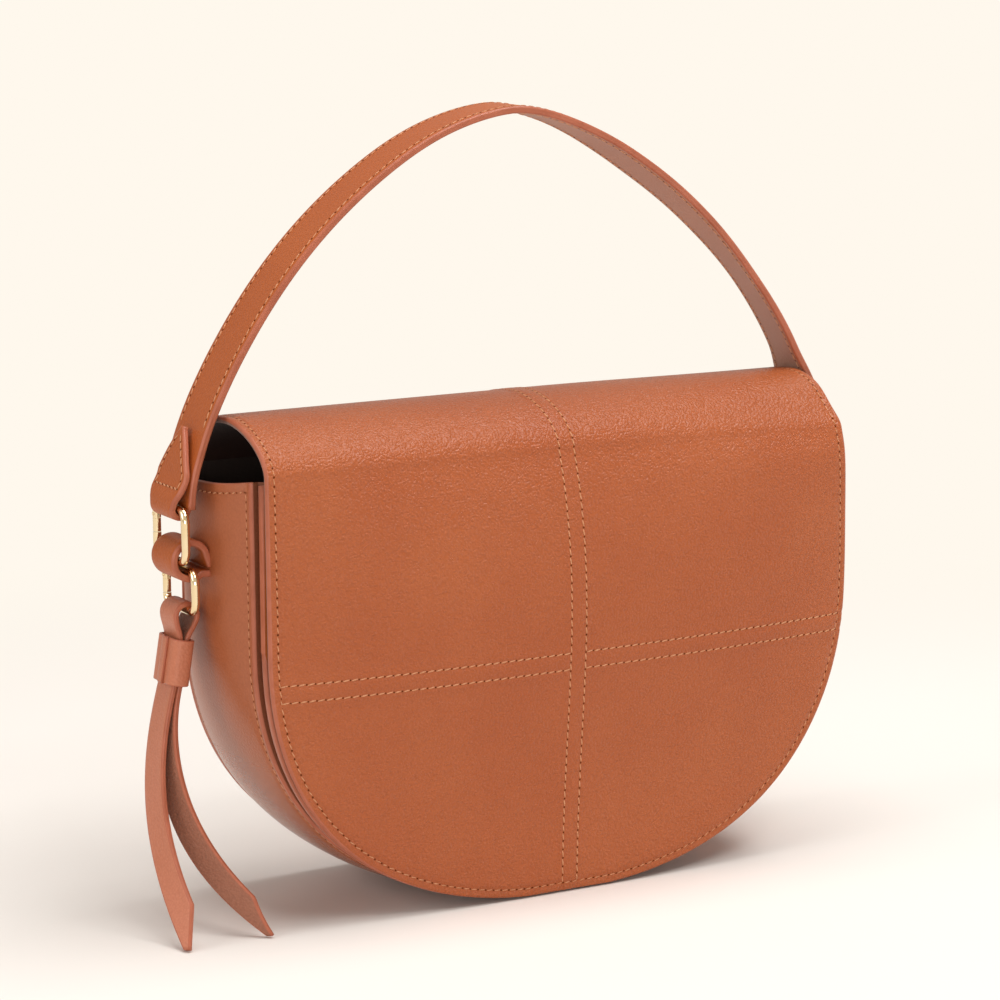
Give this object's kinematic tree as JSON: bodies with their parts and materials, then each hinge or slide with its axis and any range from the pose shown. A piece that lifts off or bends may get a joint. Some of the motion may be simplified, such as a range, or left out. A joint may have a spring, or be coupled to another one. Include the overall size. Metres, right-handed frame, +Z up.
{
  "type": "bag",
  "caption": "Half-moon tan leather shoulder bag with a padded cross-seamed flap, an arched carry strap on gold side rings and a two-tailed leather tassel hanging from the left side tab.",
  "frame": {"origin": "Under the middle of the gusset's depth, on the flat that the bag stands on.", "axes": "X runs across the bag to its wearer's view right when the flap faces the viewer, +Y points away from the flap to the back panel, +Z points up."},
  "size_m": [0.307, 0.0884, 0.2972],
  "materials": {
    "tan_leather": "smooth grain",
    "edge_leather": "pebbled grain",
    "dark_leather": "matt",
    "lining_cloth": "twill",
    "flap_lining": "suede",
    "board": "stiff board",
    "foam": "soft foam",
    "gold_metal": "polished",
    "steel_washer": "plain"
  },
  "bodies": {
    "bag_body": {"front_panel": "tan_leather", "front_board": "board", "front_lining": "lining_cloth", "front_band": "dark_leather", "gusset": "edge_leather", "gusset_lining": "lining_cloth", "back_panel": "tan_leather", "back_board": "board", "back_lining": "lining_cloth", "slip_pocket": "lining_cloth", "crown_back": "tan_leather", "crown_back_lining": "flap_lining", "band_crown_back": "tan_leather", "snap_socket": "gold_metal", "snap_socket_washer": "steel_washer", "tab_left": "tan_leather", "tab_right": "tan_leather"},
    "flap_shoulder": {"crown_front": "tan_leather", "crown_front_lining": "flap_lining", "band_crown_front": "tan_leather"},
    "flap": {"flap_front": "tan_leather", "flap_padding": "foam", "flap_lining": "flap_lining", "band_upright": "tan_leather", "band_level": "tan_leather", "snap_stud": "gold_metal", "snap_stud_washer": "steel_washer"},
    "handle": {"strap_outer": "tan_leather", "strap_lining": "tan_leather", "strap_end_left": "tan_leather", "strap_end_right": "tan_leather", "ring_left": "gold_metal", "ring_right": "gold_metal", "gate_pin_left": "gold_metal", "gate_pin_right": "gold_metal"},
    "gate_left_body": {"gate_left": "gold_metal"},
    "gate_right_body": {"gate_right": "gold_metal"},
    "tassel_ring_body": {"tassel_ring": "gold_metal", "tassel_gate_pin": "gold_metal"},
    "tassel_gate_body": {"tassel_gate": "gold_metal"},
    "tassel": {"tassel_loop": "tan_leather", "tassel_keeper": "tan_leather", "tail_outer": "tan_leather", "tail_inner": "tan_leather"}
  },
  "joints": [
    {"name": "flap_lift", "type": "hinge", "parent": "bag_body", "child": "flap_shoulder", "pos_m": [0, -0.016, 0.1913], "axis": [-1, 0, 0], "range_deg": [0, 55]},
    {"name": "flap_fold", "type": "hinge", "parent": "flap_shoulder", "child": "flap", "pos_m": [0, -0.0465, 0.1727], "axis": [-1, 0, 0], "range_deg": [0, 110]},
    {"name": "handle_fold", "type": "hinge", "parent": "bag_body", "child": "handle", "pos_m": [0, 0, 0.1381], "axis": [1, 0, 0], "range_deg": [-90, 90], "deforming": ["tab_left", "tab_right"]},
    {"name": "gate_left_swing", "type": "hinge", "parent": "handle", "child": "gate_left_body", "pos_m": [-0.14245, 0.013, 0.1529], "axis": [-1, 0, 0], "range_deg": [0, 20], "stiffness_Nm_per_rad": 0.002},
    {"name": "gate_right_swing", "type": "hinge", "parent": "handle", "child": "gate_right_body", "pos_m": [0.14245, 0.013, 0.1529], "axis": [-1, 0, 0], "range_deg": [0, 20], "stiffness_Nm_per_rad": 0.002},
    {"name": "ring_swing", "type": "hinge", "parent": "bag_body", "child": "tassel_ring_body", "pos_m": [-0.13905, 0, 0.1344], "axis": [0, 1, 0], "range_deg": [-4, 75]},
    {"name": "tassel_gate_swing", "type": "hinge", "parent": "tassel_ring_body", "child": "tassel_gate_body", "pos_m": [-0.13905, 0.013, 0.1295], "axis": [-1, 0, 0], "range_deg": [0, 20], "stiffness_Nm_per_rad": 0.002},
    {"name": "tassel_swing", "type": "hinge", "parent": "tassel_ring_body", "child": "tassel", "pos_m": [-0.13905, 0, 0.119], "axis": [0, 1, 0], "range_deg": [-5, 60]}
  ]
}
